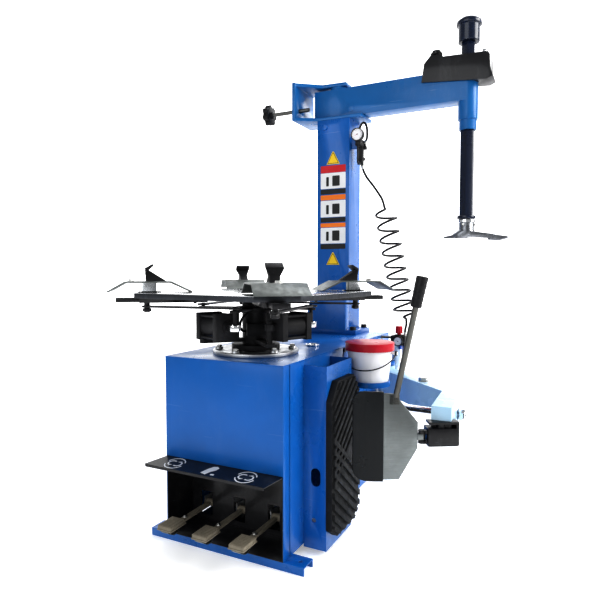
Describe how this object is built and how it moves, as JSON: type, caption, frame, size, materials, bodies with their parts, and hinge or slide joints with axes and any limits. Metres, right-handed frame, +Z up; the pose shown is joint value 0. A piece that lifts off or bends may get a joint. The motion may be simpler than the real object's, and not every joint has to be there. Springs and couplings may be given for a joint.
{
  "type": "tyre changer machine",
  "caption": "Floor-standing tyre changer: cabinet with clamping turntable, swing arm with hexagonal shaft and mount head, side bead breaker and pedals.",
  "frame": {"origin": "on the floor, under the middle of the cabinet", "axes": "+X towards the bead breaker side, -Y towards the operator, +Z up"},
  "size_m": [1.1205, 1.1845, 1.862],
  "materials": {
    "alu": "satin",
    "black_plastic": "matte",
    "black_rubber": "matte",
    "black_steel": "satin",
    "blue_paint": "gloss",
    "bright_steel": "satin",
    "cast_grey": "rough",
    "chrome": "polished",
    "dark_blue_steel": "gloss",
    "red_plastic": "gloss",
    "table_steel": "satin",
    "white_plastic": "gloss"
  },
  "bodies": {
    "frame": {"base_channels": "blue_paint", "cabinet_shell": "blue_paint", "front_panel": "blue_paint", "pedal_recess": "black_plastic", "abutment_bracket": "blue_paint", "abutment_pad": "black_rubber", "gearbox": "cast_grey", "motor": "blue_paint", "drive_belt": "black_rubber", "valve_block": "alu", "column": "blue_paint", "column_foot": "blue_paint", "arm_bracket": "blue_paint", "pail_holder": "blue_paint", "air_unit": "alu", "inflator_gun": "black_steel", "gun_hose": "black_rubber", "hose_coil": "black_rubber", "hose_leads": "black_rubber"},
    "table": {"turntable": "table_steel", "table_hub": "black_steel"},
    "spider": {"spider": "black_steel"},
    "swing": {"swing_arm": "blue_paint", "lock_housing": "black_steel"},
    "shaft": {"hex_shaft": "dark_blue_steel", "shaft_cap": "dark_blue_steel", "mount_head": "chrome"},
    "lock": {"lock_knob": "black_plastic"},
    "stop": {"stop_knob": "black_plastic"},
    "motor_pulley": {"motor_pulley": "cast_grey"},
    "gearbox_pulley": {"gearbox_pulley": "cast_grey"},
    "pedal_left": {"pedal_left": "alu"},
    "pedal_middle": {"pedal_middle": "alu"},
    "pedal_right": {"pedal_right": "alu"},
    "breaker_arm": {"breaker_arm": "blue_paint"},
    "blade": {"breaker_blade": "bright_steel", "blade_cover": "black_plastic", "blade_lever": "bright_steel"},
    "breaker_cylinder": {"breaker_cylinder": "alu"},
    "breaker_rod": {"breaker_rod": "chrome"},
    "pail": {"pail": "white_plastic"},
    "bail": {"pail_bail": "black_steel"},
    "regulator": {"regulator_knob": "red_plastic"},
    "trigger": {"gun_trigger": "bright_steel"},
    "clamp_1": {"slide_1": "black_steel", "jaw_1": "bright_steel"},
    "clamp_2": {"slide_2": "black_steel", "jaw_2": "bright_steel"},
    "clamp_3": {"slide_3": "black_steel", "jaw_3": "bright_steel"},
    "clamp_4": {"slide_4": "black_steel", "jaw_4": "bright_steel"},
    "link_1": {"link_1": "black_steel"},
    "link_2": {"link_2": "black_steel"},
    "link_3": {"link_3": "black_steel"},
    "link_4": {"link_4": "black_steel"},
    "clamp_cylinder_1": {"clamp_cylinder_1": "alu"},
    "clamp_rod_1": {"clamp_rod_1": "chrome"},
    "clamp_cylinder_2": {"clamp_cylinder_2": "alu"},
    "clamp_rod_2": {"clamp_rod_2": "chrome"}
  },
  "joints": [
    {"name": "table_spin", "type": "hinge", "parent": "frame", "child": "table", "pos_m": [0, -0.287, 0.79], "axis": [0, 0, 1], "continuous": true},
    {"name": "gearbox_pulley_spin", "type": "hinge", "parent": "frame", "child": "gearbox_pulley", "pos_m": [0, -0.197, 0.506], "axis": [0, 0, 1], "continuous": true},
    {"name": "motor_pulley_spin", "type": "hinge", "parent": "frame", "child": "motor_pulley", "pos_m": [0, 0.23, 0.506], "axis": [0, 0, 1], "continuous": true},
    {"name": "jaw_slide_1", "type": "slide", "parent": "table", "child": "clamp_1", "axis": [0.766, 0.6428, 0], "range_m": [-0.091, 0]},
    {"name": "jaw_slide_2", "type": "slide", "parent": "table", "child": "clamp_2", "axis": [-0.6428, 0.766, 0], "range_m": [-0.091, 0]},
    {"name": "jaw_slide_3", "type": "slide", "parent": "table", "child": "clamp_3", "axis": [-0.766, -0.6428, 0], "range_m": [-0.091, 0]},
    {"name": "jaw_slide_4", "type": "slide", "parent": "table", "child": "clamp_4", "axis": [0.6428, -0.766, 0], "range_m": [-0.091, 0]},
    {"name": "spider_turn", "type": "hinge", "parent": "table", "child": "spider", "pos_m": [0, -0.287, 0.748], "axis": [0, 0, 1], "range_deg": [0, 23.6]},
    {"name": "link_turn_1", "type": "hinge", "parent": "clamp_1", "child": "link_1", "pos_m": [0.26812, -0.06202, 0.758], "axis": [0, 0, 1], "range_deg": [-5.6, 0]},
    {"name": "link_turn_2", "type": "hinge", "parent": "clamp_2", "child": "link_2", "pos_m": [-0.22498, -0.01888, 0.758], "axis": [0, 0, 1], "range_deg": [-5.6, 0]},
    {"name": "link_turn_3", "type": "hinge", "parent": "clamp_3", "child": "link_3", "pos_m": [-0.26812, -0.51198, 0.758], "axis": [0, 0, 1], "range_deg": [-5.6, 0]},
    {"name": "link_turn_4", "type": "hinge", "parent": "clamp_4", "child": "link_4", "pos_m": [0.22498, -0.55512, 0.758], "axis": [0, 0, 1], "range_deg": [-5.6, 0]},
    {"name": "clamp_swing_1", "type": "hinge", "parent": "table", "child": "clamp_cylinder_1", "pos_m": [-0.1193, -0.4093, 0.698], "axis": [0, 0, 1], "range_deg": [0, 14]},
    {"name": "clamp_extend_1", "type": "slide", "parent": "clamp_cylinder_1", "child": "clamp_rod_1", "axis": [0.9284, -0.3715, 0], "range_m": [0, 0.0616]},
    {"name": "clamp_swing_2", "type": "hinge", "parent": "table", "child": "clamp_cylinder_2", "pos_m": [0.1223, -0.4063, 0.698], "axis": [0, 0, 1], "range_deg": [0, 14]},
    {"name": "clamp_extend_2", "type": "slide", "parent": "clamp_cylinder_2", "child": "clamp_rod_2", "axis": [0.3715, 0.9284, 0], "range_m": [0, 0.0616]},
    {"name": "arm_swing", "type": "hinge", "parent": "frame", "child": "swing", "pos_m": [0, 0.425, 1.6], "axis": [0, 0, 1], "range_deg": [-100, 5]},
    {"name": "shaft_slide", "type": "slide", "parent": "swing", "child": "shaft", "axis": [0, 0, 1], "range_m": [-0.045, 0.28]},
    {"name": "lock_turn", "type": "hinge", "parent": "swing", "child": "lock", "pos_m": [0.427, 0.425, 1.745], "axis": [0, 0, 1], "range_deg": [0, 90]},
    {"name": "stop_turn", "type": "hinge", "parent": "frame", "child": "stop", "pos_m": [-0.25, 0.345, 1.578], "axis": [1, 0, 0], "continuous": true},
    {"name": "breaker_swing", "type": "hinge", "parent": "frame", "child": "breaker_arm", "pos_m": [0.255, 0.34, 0.41], "axis": [0, 0, 1], "range_deg": [-2.5, 20]},
    {"name": "blade_swivel", "type": "hinge", "parent": "breaker_arm", "child": "blade", "pos_m": [0.552, -0.241, 0.376], "axis": [0, 0, 1], "range_deg": [-5, 20]},
    {"name": "breaker_cylinder_swing", "type": "hinge", "parent": "frame", "child": "breaker_cylinder", "pos_m": [0.15, -0.01, 0.405], "axis": [0, 0, 1], "range_deg": [-2, 15.7]},
    {"name": "breaker_rod_slide", "type": "slide", "parent": "breaker_cylinder", "child": "breaker_rod", "axis": [0.9964, -0.0847, 0], "range_m": [-0.0152, 0.121]},
    {"name": "pedal_left_press", "type": "hinge", "parent": "frame", "child": "pedal_left", "pos_m": [-0.15, -0.34, 0.078], "axis": [1, 0, 0], "range_deg": [-4, 9], "stiffness_Nm_per_rad": 30},
    {"name": "pedal_middle_press", "type": "hinge", "parent": "frame", "child": "pedal_middle", "pos_m": [-0.02, -0.34, 0.078], "axis": [1, 0, 0], "range_deg": [0, 9], "stiffness_Nm_per_rad": 30, "springref_deg": -2.86},
    {"name": "pedal_right_press", "type": "hinge", "parent": "frame", "child": "pedal_right", "pos_m": [0.11, -0.34, 0.078], "axis": [1, 0, 0], "range_deg": [0, 9], "stiffness_Nm_per_rad": 30, "springref_deg": -2.86},
    {"name": "pail_lift", "type": "slide", "parent": "frame", "child": "pail", "axis": [0, 0, 1], "range_m": [0, 0.1]},
    {"name": "bail_swing", "type": "hinge", "parent": "pail", "child": "bail", "pos_m": [0.323, -0.065, 0.5933], "axis": [1, 0, 0], "range_deg": [-125, 1]},
    {"name": "regulator_turn", "type": "hinge", "parent": "frame", "child": "regulator", "pos_m": [0.29, 0.395, 0.62], "axis": [0, 0, 1], "range_deg": [-170, 170]},
    {"name": "trigger_squeeze", "type": "hinge", "parent": "frame", "child": "trigger", "pos_m": [0.112, 0.408, 1.39], "axis": [-1, 0, 0], "range_deg": [0, 8], "stiffness_Nm_per_rad": 2}
  ],
  "couplings": [
    {"joint": "gearbox_pulley_spin", "follows": "table_spin", "ratio": 20},
    {"joint": "motor_pulley_spin", "follows": "table_spin", "ratio": 49.714},
    {"joint": "jaw_slide_2", "follows": "jaw_slide_1", "ratio": 1},
    {"joint": "jaw_slide_3", "follows": "jaw_slide_1", "ratio": 1},
    {"joint": "jaw_slide_4", "follows": "jaw_slide_1", "ratio": 1},
    {"joint": "spider_turn", "follows": "jaw_slide_1", "rad_per_m": -4.517},
    {"joint": "link_turn_1", "follows": "jaw_slide_1", "rad_per_m": 1.054},
    {"joint": "link_turn_2", "follows": "jaw_slide_1", "rad_per_m": 1.054},
    {"joint": "link_turn_3", "follows": "jaw_slide_1", "rad_per_m": 1.054},
    {"joint": "link_turn_4", "follows": "jaw_slide_1", "rad_per_m": 1.054},
    {"joint": "clamp_swing_1", "follows": "jaw_slide_1", "rad_per_m": -2.675},
    {"joint": "clamp_extend_1", "follows": "jaw_slide_1", "ratio": -0.675},
    {"joint": "clamp_swing_2", "follows": "jaw_slide_1", "rad_per_m": -2.675},
    {"joint": "clamp_extend_2", "follows": "jaw_slide_1", "ratio": -0.675},
    {"joint": "breaker_cylinder_swing", "follows": "breaker_swing", "ratio": 0.78},
    {"joint": "breaker_rod_slide", "follows": "breaker_swing", "m_per_rad": 0.346}
  ]
}
